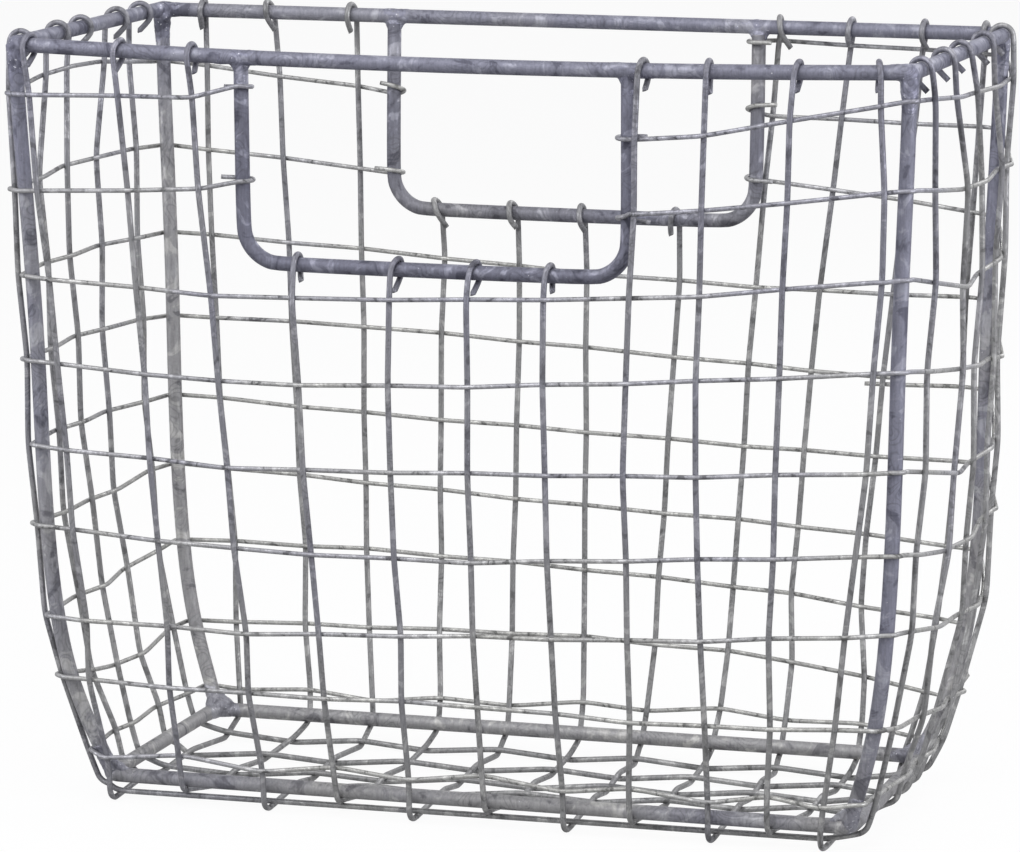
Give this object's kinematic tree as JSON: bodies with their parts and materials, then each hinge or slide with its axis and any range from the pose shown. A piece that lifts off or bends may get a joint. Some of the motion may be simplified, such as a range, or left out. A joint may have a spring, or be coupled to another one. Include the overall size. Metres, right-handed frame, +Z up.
{
  "type": "wire locker basket",
  "caption": "Deep rectangular wire basket of galvanised rods and hand-woven wire, tapering to a smaller floor, with a U-shaped hand hole in the front and back walls",
  "frame": {"origin": "Middle of the basket's outline, on the surface that the floor wires stand on", "axes": "+X to the right along the long side as the front wall is faced, +Y from the front wall to the back wall, +Z up"},
  "size_m": [0.345, 0.1632, 0.2855],
  "materials": {
    "rods": "satin",
    "hanging_wires": "satin",
    "woven_wires": "satin"
  },
  "bodies": {
    "root": {"top_rim": "rods", "base_frame": "rods", "front_left_post": "rods", "front_right_post": "rods", "back_left_post": "rods", "back_right_post": "rods", "front_handle": "rods", "back_handle": "rods", "long_wire_1": "hanging_wires", "long_wire_2": "hanging_wires", "long_wire_3": "hanging_wires", "long_wire_4": "hanging_wires", "long_wire_5": "hanging_wires", "long_wire_6": "hanging_wires", "long_wire_7": "hanging_wires", "long_wire_8": "hanging_wires", "long_wire_9": "hanging_wires", "long_wire_10": "hanging_wires", "long_wire_11": "hanging_wires", "cross_wire_1": "hanging_wires", "cross_wire_2": "hanging_wires", "cross_wire_3": "hanging_wires", "cross_wire_4": "hanging_wires", "cross_wire_5": "hanging_wires", "top_woven_wire_right": "woven_wires", "top_woven_wire_left": "woven_wires", "second_woven_wire_right": "woven_wires", "second_woven_wire_left": "woven_wires", "spiral_wire_upper": "woven_wires", "spiral_wire_lower": "woven_wires"}
  },
  "joints": []
}
